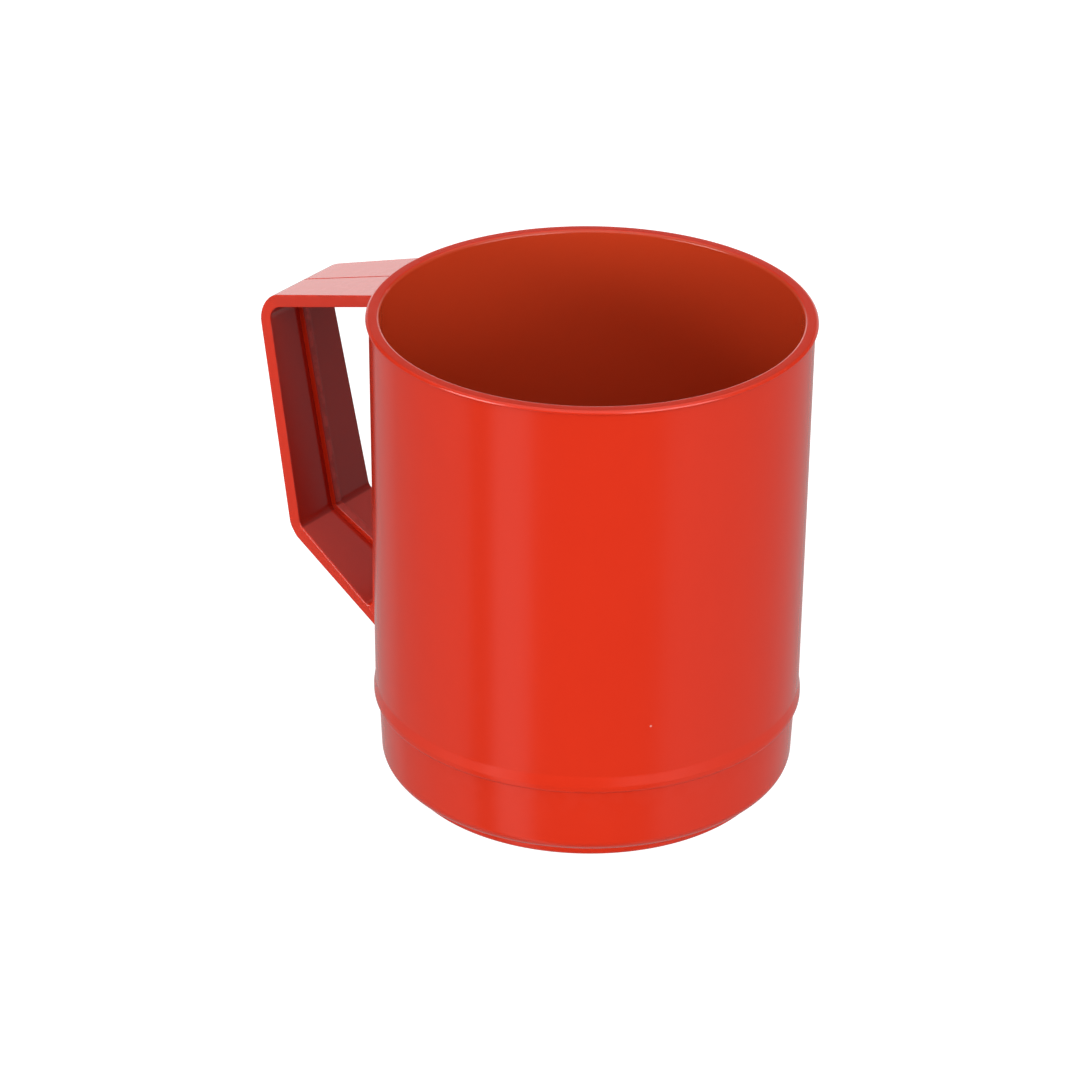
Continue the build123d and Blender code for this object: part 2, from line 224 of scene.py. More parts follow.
def painted_inner_shade(sheet: NodeSheet, given: NodeOutputs) -> Results:
    """Painted-shade masks of the faces that look at the Z axis: those in the cup, and those of the strap."""
    from_axis = sheet.place((1.0, 1.0, 0.0))
    outward = sheet.add("ShaderNodeVectorMath", {0: from_axis}, operation="NORMALIZE").outputs[0]
    normal = sheet.add("ShaderNodeNewGeometry").outputs["Normal"]
    facing = sheet.add("ShaderNodeVectorMath", {0: outward, 1: normal}, operation="DOT_PRODUCT")
    mask = sheet.ramp(facing.outputs["Value"], -0.25, -0.75)
    reach = sheet.add("ShaderNodeVectorMath", {0: from_axis}, operation="LENGTH")
    beyond = sheet.math("GREATER_THAN", reach.outputs["Value"], given["Split"])
    strap = sheet.times(mask, beyond)
    return {"Cup": sheet.minus(mask, strap), "Strap": strap}


def turning_lines(sheet: NodeSheet, given: NodeOutputs) -> Results:
    """Fine tool lines round the Z axis, as height and as a mask."""
    apart = sheet.add("ShaderNodeSeparateXYZ", {0: sheet.place()}).outputs
    squares = sheet.plus(sheet.times(apart[0], apart[0]), sheet.times(apart[1], apart[1]))
    reach = sheet.plus(sheet.math("SQRT", squares), apart[2])
    along = sheet.add("ShaderNodeCombineXYZ", {0: reach}).outputs[0]
    lines = sheet.noise(along, given["Scale"], 4.0)
    return {"Lines": lines}


def blank(name: str) -> tuple[Material, NodeSheet]:
    """Make a material and its empty sheet."""
    made = bpy.data.materials.new(name)
    made.use_nodes = True
    return made, NodeSheet(made.node_tree)


def cover(sheet: NodeSheet, height: NodeSocket, depth_m: float, inputs: dict) -> None:
    """End a material with a bumped Principled surface.

    Args:
        sheet: The material's sheet.
        height: The height of the surface's texture, from 0 to 1.
        depth_m: How deep the texture is.
        inputs: The shader's other inputs by name.
    """
    bump = sheet.add("ShaderNodeBump", {"Height": height, "Strength": 1.0, "Distance": depth_m})
    shader = sheet.add("ShaderNodeBsdfPrincipled", inputs | {"Normal": bump.outputs[0]})
    sheet.add("ShaderNodeOutputMaterial", {"Surface": shader.outputs[0]})


def effect(
    sheet: NodeSheet, draw: Callable[[NodeSheet, NodeOutputs], Results], **values: float
) -> NodeOutputs:
    """Place a shared effect in a material, and build its node group at its first use.

    Args:
        sheet: The material's sheet.
        draw: Draws the effect from the group's inputs and returns its outputs by name.
        **values: This material's values for the group's inputs.

    Returns:
        The placed group's outputs.
    """
    tree = bpy.data.node_groups.get(draw.__name__)
    if tree is None:
        tree = bpy.data.node_groups.new(draw.__name__, "ShaderNodeTree")
        for name in values:
            tree.interface.new_socket(name.capitalize(), in_out="INPUT", socket_type="NodeSocketFloat")
        inner = NodeSheet(tree)
        results = draw(inner, inner.add("NodeGroupInput").outputs)
        for name in results:
            tree.interface.new_socket(name, in_out="OUTPUT", socket_type="NodeSocketFloat")
        inner.add("NodeGroupOutput", results)
    node = sheet.add("ShaderNodeGroup", node_tree=tree)
    for name, value in values.items():
        node.inputs[name.capitalize()].default_value = value
    return node.outputs


# --- Finishes -------------------------------------------------------------------------


@dataclass(frozen=True)
class GlossyMoulding:
    """Glossy red plastic from a polished mould."""

    name: str = "glossy_red_plastic"
    colour: Colour = (0.705, 0.0280, 0.0050, 1.0)
    deep_colour: Colour = (0.665, 0.0240, 0.0045, 1.0)
    # Painted shade: a darker red for the faces inside the cup.
    cup_inside_shade_colour: Colour = (0.560, 0.0480, 0.0130, 1.0)
    # Painted shade: a dark brown-red for the strap's inner faces, which face the cup.
    strap_inside_shade_colour: Colour = (0.330, 0.0150, 0.0060, 1.0)
    worn_colour: Colour = (0.780, 0.075, 0.050, 1.0)
    speck_colour: Colour = (0.820, 0.420, 0.360, 1.0)
    polish: float = 0.16
    dulling: float = 0.05
    skin_height_m: float = 0.000035
    refraction: float = 1.5

    def material(self) -> Material:
        """Build the material, with flow tones, painted shade on the faces that look at the Z axis,
        scratches, specks, wear and moulded skin.
        """
        made, sheet = blank(self.name)
        flow = effect(sheet, melt_flow, scale=26.0)["Tone"]
        scratches = effect(sheet, hairline_scratches, scale=380.0)["Mask"]
        wear = effect(sheet, edge_wear, amount=0.55)["Mask"]
        specks = effect(sheet, dust_specks, scale=95.0, share=0.035)["Mask"]
        skin = effect(sheet, moulded_skin, scale=38.0)["Height"]
        outside = sheet.mix(sheet.times(flow, 0.4), self.colour, self.deep_colour)
        # Painted shade: faces that look at the Z axis are darkened, inside the cup and on the strap's inner
        # side.
        inner_shade = effect(sheet, painted_inner_shade, split=0.0545)
        inside = sheet.mix(inner_shade["Cup"], outside, self.cup_inside_shade_colour)
        # Painted shade on the strap's inner faces.
        body = sheet.mix(inner_shade["Strap"], inside, self.strap_inside_shade_colour)
        rubbed = sheet.mix(wear, body, self.worn_colour)
        scratched = sheet.mix(sheet.times(scratches, 0.015), rubbed, self.worn_colour)
        colour = sheet.mix(specks, scratched, self.speck_colour)
        dull = sheet.times(sheet.math("MAXIMUM", scratches, wear), self.dulling)
        smudge = sheet.times(sheet.noise(sheet.place(), 60.0, 4.0), 0.05)
        rough = sheet.plus(sheet.plus(dull, smudge), self.polish)
        scored = sheet.times(scratches, -0.008)
        height = sheet.plus(sheet.plus(skin, scored), sheet.times(specks, 0.08))
        inputs = {"Base Color": colour, "Roughness": rough, "IOR": self.refraction}
        cover(sheet, height, self.skin_height_m, inputs)
        return made


@dataclass(frozen=True)
class SatinMoulding:
    """Satin white plastic of the small bearing parts."""

    name: str = "satin_white_plastic"
    colour: Colour = (0.80, 0.785, 0.735, 1.0)
    deep_colour: Colour = (0.70, 0.675, 0.60, 1.0)
    worn_colour: Colour = (0.60, 0.57, 0.50, 1.0)
    polish: float = 0.38
    skin_height_m: float = 0.00002
    refraction: float = 1.52

    def material(self) -> Material:
        """Build the material, with flow tones, rubbed edges and a fine moulded skin."""
        made, sheet = blank(self.name)
        flow = effect(sheet, melt_flow, scale=140.0)["Tone"]
        scratches = effect(sheet, hairline_scratches, scale=900.0)["Mask"]
        wear = effect(sheet, edge_wear, amount=0.5)["Mask"]
        skin = effect(sheet, moulded_skin, scale=190.0)["Height"]
        body = sheet.mix(sheet.times(flow, 0.5), self.colour, self.deep_colour)
        colour = sheet.mix(sheet.math("MAXIMUM", wear, sheet.times(scratches, 0.3)), body, self.worn_colour)
        rough = sheet.plus(sheet.times(scratches, 0.12), self.polish)
        inputs = {"Base Color": colour, "Roughness": rough, "IOR": self.refraction}
        cover(sheet, skin, self.skin_height_m, inputs)
        return made


@dataclass(frozen=True)
class Stainless:
    """Bare stainless steel, turned, pressed or drawn."""

    name: str
    colour: Colour = (0.60, 0.59, 0.57, 1.0)
    dull_colour: Colour = (0.44, 0.43, 0.41, 1.0)
    worn_colour: Colour = (0.78, 0.77, 0.75, 1.0)
    polish: float = 0.22
    line_scale: float = 4200.0
    line_height_m: float = 0.000012

    def material(self) -> Material:
        """Build the material, with tool lines, water stains and worn edges."""
        made, sheet = blank(self.name)
        lines = effect(sheet, turning_lines, scale=self.line_scale)["Lines"]
        scratches = effect(sheet, hairline_scratches, scale=800.0)["Mask"]
        wear = effect(sheet, edge_wear, amount=0.6)["Mask"]
        stain = sheet.ramp(sheet.noise(sheet.place(), 320.0, 5.0), 0.45, 0.75)
        tarnish = sheet.times(sheet.math("MAXIMUM", stain, lines), 0.55)
        body = sheet.mix(tarnish, self.colour, self.dull_colour)
        colour = sheet.mix(sheet.times(wear, 0.5), body, self.worn_colour)
        rough = sheet.plus(sheet.times(lines, 0.16), self.polish)
        rough = sheet.plus(rough, sheet.times(stain, 0.10))
        height = sheet.minus(lines, sheet.times(scratches, 0.6))
        inputs = {"Base Color": colour, "Roughness": rough, "Metallic": 1.0}
        cover(sheet, height, self.line_height_m, inputs)
        return made


@dataclass(frozen=True)
class StudioFloor:
    """A pale seamless floor that is only there from above."""

    name: str = "studio_floor"
    colour: Colour = (0.34, 0.34, 0.34, 1.0)
    grain_colour: Colour = (0.33, 0.33, 0.33, 1.0)
    lit_through: float = 0.97

    def material(self) -> Material:
        """Build the material: matt paper from above, clear from below."""
        made, sheet = blank(self.name)
        grain = sheet.noise(sheet.place(), 40.0, 5.0)
        paper = sheet.add(
            "ShaderNodeBsdfPrincipled",
            {
                "Base Color": sheet.mix(grain, self.colour, self.grain_colour),
                "Roughness": 0.9,
                "Specular IOR Level": 0.0,
                "Emission Color": (1.0, 1.0, 1.0, 1.0),
                "Emission Strength": self.lit_through,
            },
        )
        clear = sheet.add("ShaderNodeBsdfTransparent")
        under = sheet.add("ShaderNodeNewGeometry").outputs["Backfacing"]
        both = sheet.add("ShaderNodeMixShader", {0: under, 1: paper.outputs[0], 2: clear.outputs[0]})
        sheet.add("ShaderNodeOutputMaterial", {"Surface": both.outputs[0]})
        return made


@dataclass
class Finishes:
    """Every finish of the sifter, made once."""

    red: Material
    white: Material
    pressed: Material
    wire: Material
    turned: Material

    @classmethod
    def make(cls) -> Finishes:
        """Build all the materials."""
        return cls(
            red=GlossyMoulding().material(),
            white=SatinMoulding().material(),
            pressed=Stainless("pressed_stainless", polish=0.3, line_scale=2500.0).material(),
            wire=Stainless("drawn_screen_wire", polish=0.26, line_scale=1500.0).material(),
            turned=Stainless("polished_stainless", polish=0.14).material(),
        )


# --- Mesh making ----------------------------------------------------------------------


@dataclass(frozen=True)
class Corner:
    """One corner of a turned section: where it is and how round it is."""

    radius: float
    height: float
    rounding: float = 0.0
    steps: int = 4


def bevel(mesh: BMesh, geom: list, offset: float, steps: int, **settings: object) -> None:
    """Bevel edges, or vertices where the settings say so, with a round profile."""
    usual = {"offset_type": "OFFSET", "profile": ROUND_PROFILE, "affect": "EDGES", "material": -1}
    bmesh.ops.bevel(mesh, geom=geom, offset=offset, segments=steps, **(usual | settings))


def round_corner(mesh: BMesh, vert: BMVert, rounding: float, steps: int) -> None:
    """Round one corner of a flat outline with an arc of a given radius and number of steps."""
    first, second = [(edge.other_vert(vert).co - vert.co).normalized() for edge in vert.link_edges]
    turn = math.pi - first.angle(second)
    bevel(mesh, [vert], rounding * math.tan(turn * 0.5), steps, affect="VERTICES")


def turned(corners: Sequence[Corner], steps: int, closed: bool = True) -> BMesh:
    """Turn a section about the Z axis.

    Args:
        corners: The section's corners in order.
        steps: How many faces go round.
        closed: Whether the last corner joins the first, as in a ring.

    Returns:
        A closed mesh in millimetres.
    """
    mesh = bmesh.new()
    line = [mesh.verts.new((corner.radius, 0.0, corner.height)) for corner in corners]
    ends = line[1:] + line[:1] if closed else line[1:]
    for first, second in zip(line, ends):
        mesh.edges.new((first, second))
    for vert, corner in zip(line, corners):
        if corner.rounding > 0.0:
            round_corner(mesh, vert, corner.rounding, corner.steps)
    bmesh.ops.spin(
        mesh,
        geom=mesh.verts[:] + mesh.edges[:],
        cent=(0.0, 0.0, 0.0),
        axis=(0.0, 0.0, 1.0),
        angle=math.tau,
        steps=steps,
        use_merge=True,
    )
    weld(mesh)
    return mesh


def face_outwards(mesh: BMesh) -> None:
    """Turn every face of a closed mesh outwards."""
    bmesh.ops.recalc_face_normals(mesh, faces=mesh.faces[:])


def weld(mesh: BMesh) -> None:
    """Merge vertices at the same place and turn the faces outwards."""
    bmesh.ops.remove_doubles(mesh, verts=mesh.verts[:], dist=WELD_DISTANCE)
    face_outwards(mesh)


def rotate(mesh: BMesh, turn: float, axis: str = "Z") -> None:
    """Turn a mesh about an axis through the origin, by radians."""
    bmesh.ops.rotate(mesh, cent=(0, 0, 0), matrix=Matrix.Rotation(turn, 3, axis), verts=mesh.verts[:])


def join(first: BMesh, second: BMesh) -> None:
    """Add the second mesh to the first and free the second."""
    carried = bpy.data.meshes.new("carried")
    second.to_mesh(carried)
    second.free()
    first.from_mesh(carried)
    bpy.data.meshes.remove(carried)


def linked(mesh: BMesh, name: str, scale: float = MM) -> Object:
    """Put a mesh into the scene as an object at the origin, scaled to metres, and free it."""
    bmesh.ops.scale(mesh, vec=(scale, scale, scale), verts=mesh.verts[:])
    data = bpy.data.meshes.new(name)
    mesh.to_mesh(data)
    mesh.free()
    made = bpy.data.objects.new(name, data)
    bpy.context.scene.collection.objects.link(made)
    return made


def shaded(piece: Object) -> None:
    """Shade a piece smooth, with its creases kept."""
    piece.data.shade_smooth()
    piece.data.set_sharp_from_angle(angle=CREASE_ANGLE)
    piece.modifiers.new("even_shading", "WEIGHTED_NORMAL").keep_sharp = True


def as_piece(mesh: BMesh, name: str, finish: Material) -> Object:
    """Make a shaded object in a finish of a millimetre mesh, which is freed."""
    piece = linked(mesh, name)
    shaded(piece)
    piece.data.materials.append(finish)
    return piece


def settle(piece: Object, body: Body, node: str) -> None:
    """Attach a piece to the body it rides on, hide the node it stands for, and log its faces."""
    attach(piece, body.value)
    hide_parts(node)
    LOG.info("%s rides on %s with %d faces", piece.name, body.value, len(piece.data.polygons))


def heights(node: str) -> tuple[float, float]:
    """The lowest and highest height of a node, in millimetres."""
    low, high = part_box(node)
    return low.z / MM, high.z / MM


def bake_modifiers(piece: Object) -> None:
    """Put a piece's modifiers into its mesh."""
    graph = bpy.context.evaluated_depsgraph_get()
    baked = bpy.data.meshes.new_from_object(piece.evaluated_get(graph))
    piece.modifiers.clear()
    old = piece.data
    piece.data = baked
    bpy.data.meshes.remove(old)


# --- Cup ------------------------------------------------------------------------------


@dataclass
class Cup:
    """The drafted cup, open at both ends, with a rim flange and a flared lower lip."""

    rim_radius: float
    height: float
    ledge: float
    wall: float = 2.65
    overhang: float = 0.75
    flange: float = 1.0
    draft: float = 0.7
    lip_flare: float = 0.45
    flare_length: float = 4.6
    lip_height: float = 1.84
    socket_radius: float = 52.05
    socket_depth: float = 8.0

    @classmethod
    def from_frame(cls) -> Cup:
        """Take the cup's overall sizes from its node."""
        low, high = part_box("cup_body")
        return cls(rim_radius=high.x / MM, height=high.z / MM, ledge=low.z / MM)

    def outer_radius(self, height: float) -> float:
        """Outer radius of the wall at a height."""
        top = self.rim_radius - self.overhang
        return top - self.draft * (self.height - height) / (self.height - self.ledge)

    def build(self, finish: Material) -> None:
        """Turn the cup and dress it in the red plastic."""
        under_flange = self.height - self.flange
        flare_start = self.ledge + self.flare_length
        flare_end = self.ledge + self.lip_height
        lip = self.outer_radius(self.ledge) + self.lip_flare
        shoulder = self.ledge + self.socket_depth
        corners = [
            Corner(self.rim_radius, self.height, 0.75, 7),
            Corner(self.rim_radius, under_flange, 0.22, 3),
            Corner(self.outer_radius(under_flange), under_flange, 0.25, 3),
            Corner(self.outer_radius(flare_start), flare_start, self.flare_length, 8),
            Corner(lip, flare_end, 0.9, 5),
            Corner(lip, self.ledge, 0.9, 6),
            Corner(self.socket_radius, self.ledge, 0.15, 2),
            Corner(self.socket_radius, shoulder, 0.15, 2),
            Corner(self.outer_radius(self.ledge) - self.wall, shoulder, 0.3, 3),
            Corner(self.outer_radius(self.height) - self.wall, self.height, 0.8, 6),
        ]
        piece = as_piece(turned(corners, LARGE_TURN_STEPS), "cup", finish)
        settle(piece, Body.CUP, "cup_body")


# --- Handle ---------------------------------------------------------------------------


@dataclass
class Handle:
    """The squared strap loop, in two halves that meet at a seam down its middle."""

    cup: Cup
    top_root: tuple[float, float] = (54.0, 120.5)
    top_corner: tuple[float, float] = (95.6, 108.3)
    low_corner: tuple[float, float] = (84.15, 45.7)
    low_root: tuple[float, float] = (53.5, 29.4)
    thickness: float = 3.5
    outer_roundings: tuple[float, float] = (8.0, 5.8)
    inner_roundings: tuple[float, float] = (3.6, 2.4)
    root_rounding: float = 1.6
    half_widths: tuple[float, ...] = (15.8, 12.2, 14.7, 19.0)
    leg_face_top: float = 55.2
    leg_face_low: float = 54.3
    rib_half_width: float = 1.3
    rib_height: float = 1.5
    half_gap: float = 0.01
    root_extension: float = 9.0
    embedding: float = 0.9
    arc_steps: int = 12
    edge_rounding: float = 0.4
    rib_rounding: float = 0.24
    seam_chamfer: float = 0.28

    def corners(self) -> list[Vector]:
        """The strap's outer corners in side view, root to root, as X and Z."""
        points = (self.top_root, self.top_corner, self.low_corner, self.low_root)
        return [Vector((-radius, height)) for radius, height in points]

    def outer_outline(self) -> list[Vector]:
        """The outer outline, with both roots carried on into the cup's wall."""
        points = self.corners()
        for root, neighbour in ((0, 1), (3, 2)):
            along = (points[root] - points[neighbour]).normalized()
            points[root] = points[root] + along * self.root_extension
        return points

    def inner_outline(self) -> list[Vector]:
        """The opening's outline: three strap runs and the back leg's face."""
        points = self.corners()
        lines = []
        for start, end in zip(points, points[1:]):
            along = (end - start).normalized()
            inward = Vector((-along.y, along.x)) * self.thickness
            lines.append((start + inward, along))
        leg_top = Vector((-self.leg_face_top, self.top_root[1]))
        leg_low = Vector((-self.leg_face_low, self.low_root[1]))
        lines.append((leg_low, (leg_top - leg_low).normalized()))
        return [self.crossing(lines[index - 1], lines[index]) for index in range(len(lines))]

    @staticmethod
    def crossing(first: tuple[Vector, Vector], second: tuple[Vector, Vector]) -> Vector:
        """The point where two lines, each a point and a direction, cross."""
        apart = second[0] - first[0]
        turn = first[1].cross(second[1])
        return first[0] + first[1] * (apart.cross(second[1]) / turn)

    def half_width(self, height: float, on_leg: bool) -> float:
        """Half the handle's width at a height, on the strap or on the back leg."""
        heights = [point.y for point in self.corners()]
        widths = self.half_widths
        if on_leg:
            heights, widths = [heights[0], heights[3]], (widths[0], widths[3])
        index = 0
        while index < len(heights) - 2 and height < heights[index + 1]:
            index += 1
        share = (heights[index] - height) / (heights[index] - heights[index + 1])
        return widths[index] + (widths[index + 1] - widths[index]) * share

    def add_outline(
        self, mesh: BMesh, points: Sequence[Vector], roundings: Sequence[float]
    ) -> list[BMEdge]:
        """Draw a rounded closed outline in the handle's mid-plane.

        Args:
            mesh: The mesh to draw in.
            points: Its corners as X and Z.
            roundings: The radius at each corner.

        Returns:
            The outline's edges.
        """
        before = set(mesh.edges)
        verts = [mesh.verts.new((point.x, -self.half_gap, point.y)) for point in points]
        for first, second in zip(verts, verts[1:] + verts[:1]):
            mesh.edges.new((first, second))
        for vert, rounding in zip(verts, roundings):
            round_corner(mesh, vert, rounding, self.arc_steps)
        return [edge for edge in mesh.edges if edge not in before]

    def side_view(self, mesh: BMesh) -> None:
        """Fill the band between the outer outline and the opening."""
        outer = self.add_outline(mesh, self.outer_outline(), [1.0, *self.outer_roundings, 1.0])
        inner = self.add_outline(
            mesh, self.inner_outline(), [self.root_rounding, *self.inner_roundings, self.root_rounding]
        )
        bmesh.ops.bridge_loops(mesh, edges=outer + inner)

    def extrude_sideways(self, mesh: BMesh, width_at: Callable[[Vector], float]) -> None:
        """Carry the outermost band of faces out to a width that depends on the place."""
        lowest = min(vert.co.y for vert in mesh.verts)
        band = [face for face in mesh.faces if all(abs(v.co.y - lowest) < WELD_DISTANCE for v in face.verts)]
        is_first_band = len(band) == len(mesh.faces)
        made = bmesh.ops.extrude_face_region(mesh, geom=band)["geom"]
        for item in made:
            if isinstance(item, BMVert):
                item.co.y = -width_at(item.co)
        if not is_first_band:
            bmesh.ops.delete(mesh, geom=band, context="FACES")

    def edge_width(self, place: Vector) -> float:
        """Half width at a vertex: the back leg's beside the cup's wall, the strap's elsewhere."""
        leg_reach = self.leg_face_top + self.root_rounding * 1.2
        beside_wall = -leg_reach < place.x < self.embedding - self.leg_face_low
        return self.half_width(place.z, on_leg=beside_wall)

    def raise_rib(self, mesh: BMesh) -> None:
        """Raise the inner rib from the strap's inner faces beside the seam."""
        chosen = []
        for face in mesh.faces:
            centre = face.calc_center_median()
            narrow = all(abs(vert.co.y) < self.rib_half_width + WELD_DISTANCE for vert in face.verts)
            inward = face.normal.dot((OPENING_MIDDLE - centre) * Vector((1.0, 0.0, 1.0))) > 0.0
            if narrow and inward and abs(face.normal.y) < 0.5 and face.normal.x > -0.5:
                chosen.append(face)
        made = bmesh.ops.extrude_face_region(mesh, geom=chosen)["geom"]
        raised = [item for item in made if isinstance(item, BMFace)]
        shifts: dict[BMVert, Vector] = {}
        for item in made:
            if isinstance(item, BMVert):
                normals = [face.normal for face in item.link_faces if face in raised]
                mean = sum(normals, Vector()).normalized()
                shifts[item] = mean * (self.rib_height / mean.dot(normals[0]))
        for vert, shift in shifts.items():
            vert.co += shift
        bmesh.ops.delete(mesh, geom=chosen, context="FACES")

    def soften_edges(self, mesh: BMesh) -> None:
        """Round the strap's long edges and the rib's edges, and chamfer the seam."""
        mesh.normal_update()
        long_edges, rib_edges, seam_edges = [], [], []
        for edge in mesh.edges:
            if len(edge.link_faces) != 2 or edge.calc_face_angle(0.0) < math.radians(50.0):
                continue
            reach = min(-vert.co.y for vert in edge.verts)
            in_cup = all(vert.co.x > -self.cup.outer_radius(self.cup.height) for vert in edge.verts)
            facings = [face.normal.dot(self.towards_opening(face)) for face in edge.link_faces]
            facing_in, facing_out = max(facings) > 0.5, min(facings) < -0.5
            if reach > self.rib_half_width * 2.0 and not in_cup:
                long_edges.append(edge)
            elif abs(reach - self.rib_half_width) < 0.01 and facing_in and self.is_convex(edge):
                rib_edges.append(edge)
            elif reach < self.half_gap * 2.0 and facing_out:
                seam_edges.append(edge)
        for edges, offset, steps, clamped in (
            (seam_edges, self.seam_chamfer, 1, False),
            (long_edges, self.edge_rounding, 4, False),
            (rib_edges, self.rib_rounding, 3, True),
        ):
            bevel(mesh, [edge for edge in edges if edge.is_valid], offset, steps, clamp_overlap=clamped)

    @staticmethod
    def towards_opening(face: BMFace) -> Vector:
        """The direction from a face to the middle of the opening, in side view."""
        apart = OPENING_MIDDLE - face.calc_center_median()
        apart.y = 0.0
        return apart.normalized()

    @staticmethod
    def is_convex(edge: BMEdge) -> bool:
        """Whether an edge stands proud."""
        return edge.calc_face_angle_signed(0.0) > 0.0

    def cup_cutter(self) -> Object:
        """The inside of the cup's wall, which trims the roots and the back leg."""
        low = self.cup.outer_radius(self.cup.ledge) - self.embedding
        high = self.cup.outer_radius(self.cup.height) - self.embedding
        bottom, top = self.cup.ledge, self.cup.height + self.cup.ledge
        corners = [Corner(0.0, bottom), Corner(low, bottom), Corner(high, top), Corner(0.0, top)]
        return linked(turned(corners, LARGE_TURN_STEPS, closed=False), "cup_cutter")

    def build_half(self, side: Side, finish: Material) -> None:
        """Build one half of the handle and trim it to the cup."""
        mesh = bmesh.new()
        self.side_view(mesh)
        self.extrude_sideways(mesh, lambda place: self.rib_half_width)
        self.extrude_sideways(mesh, self.edge_width)
        face_outwards(mesh)
        self.raise_rib(mesh)
        face_outwards(mesh)
        self.soften_edges(mesh)
        if side is Side.REAR:
            bmesh.ops.scale(mesh, vec=(1.0, -1.0, 1.0), verts=mesh.verts[:])
        face_outwards(mesh)
        name = f"handle_{side.name.lower()}"
        piece = as_piece(mesh, name, finish)
        piece.modifiers.clear()
        cutter = self.cup_cutter()
        trim = piece.modifiers.new("trim_to_cup", "BOOLEAN")
        trim.operation = "DIFFERENCE"
        trim.solver = "MANIFOLD"
        trim.object = cutter
        bake_modifiers(piece)
        bpy.data.objects.remove(cutter)
        shaded(piece)
        settle(piece, Body.CUP, f"{name}_half")

    def build(self, finish: Material) -> None:
        """Build both halves."""
        for side in Side:
            self.build_half(side, finish)


# --- Base unit ------------------------------------------------------------------------


@dataclass
class BaseBasket:
    """The pull-off base: wall, plug, floor ring, foot ring, spokes and boss in one moulding."""

    step: float
    plug_top: float
    top_radius: float = 52.75
    low_radius: float = 52.0
    rounding: float = 3.3
    plug_radius: float = 52.0
    wall: float = 2.0
    lead_in: float = 1.0
    foot_radius: float = 47.7
    foot_height: float = 3.3
    foot_width: float = 3.2
    floor_top: float = 5.3
    spoke_width: float = 3.0
    spoke_bottom: float = 1.5
    spoke_rounding: float = 0.6
    spoke_root: float = 1.0
    spokes: int = 4
    boss_radius: float = 6.5
    boss_top: float = 5.15
    boss_wall: float = 0.35
    bore: float = 2.05

    @classmethod
    def from_frame(cls, cup: Cup) -> BaseBasket:
        """Take the basket's height from its node and its step from the cup's ledge."""
        return cls(step=cup.ledge - LEDGE_GAP, plug_top=heights("base_basket")[1])

    def wall_section(self) -> list[Corner]:
        """The section of the wall, floor ring and foot ring."""
        inner = self.plug_radius - self.wall
        outlet = self.foot_radius - self.foot_width
        return [
            Corner(self.low_radius, self.foot_height, self.rounding, 12),
            Corner(self.top_radius, self.step, 0.15, 2),
            Corner(self.plug_radius, self.step, 0.1, 2),
            Corner(self.plug_radius, self.plug_top, 0.3, 3),
            Corner(inner + self.lead_in, self.plug_top, 0.15, 2),
            Corner(inner, self.plug_top - self.lead_in, 0.3, 3),
            Corner(inner, self.floor_top, 0.5, 3),
            Corner(outlet, self.floor_top, 0.4, 3),
            Corner(outlet, 0.0, 0.6, 4),
            Corner(self.foot_radius, 0.0, 1.2, 5),
            Corner(self.foot_radius, self.foot_height, 0.4, 3),
        ]

    def spoke(self, turn: float) -> BMesh:
        """One spoke from the boss to the floor ring, with rounded lower edges."""
        mesh = bmesh.new()
        reach = self.foot_radius - self.foot_width + self.spoke_root
        start = self.boss_radius - self.spoke_root
        length, height = reach - start, self.floor_top - self.spoke_bottom
        bmesh.ops.create_cube(mesh, size=1.0)
        bmesh.ops.scale(mesh, vec=(length, self.spoke_width, height), verts=mesh.verts[:])
        middle = Vector((start + length * 0.5, 0.0, self.spoke_bottom + height * 0.5))
        bmesh.ops.translate(mesh, vec=middle, verts=mesh.verts[:])
        runs = [edge for edge in mesh.edges if abs((edge.verts[0].co - edge.verts[1].co).x) > length * 0.5]
        bevel(mesh, runs, self.spoke_rounding, 4)
        rotate(mesh, turn)
        return mesh

    def boss(self) -> BMesh:
        """The boss at the centre, with the pin's bore and a recess for the washer."""
        recess = self.boss_radius - self.boss_wall
        corners = [
            Corner(self.bore, self.spoke_bottom, 0.2, 2),
            Corner(self.boss_radius, self.spoke_bottom, 0.6, 4),
            Corner(self.boss_radius, self.floor_top, 0.1, 2),
            Corner(recess, self.floor_top, 0.05, 1),
            Corner(recess, self.boss_top, 0.05, 1),
            Corner(self.bore, self.boss_top),
        ]
        return turned(corners, SMALL_TURN_STEPS)

    def build(self, finish: Material) -> None:
        """Turn the wall, add the spokes and the boss, and dress the basket."""
        mesh = turned(self.wall_section(), LARGE_TURN_STEPS)
        for index in range(self.spokes):
            join(mesh, self.spoke(index * math.tau / self.spokes))
        join(mesh, self.boss())
        settle(as_piece(mesh, "base", finish), Body.BASE_UNIT, "base_basket")


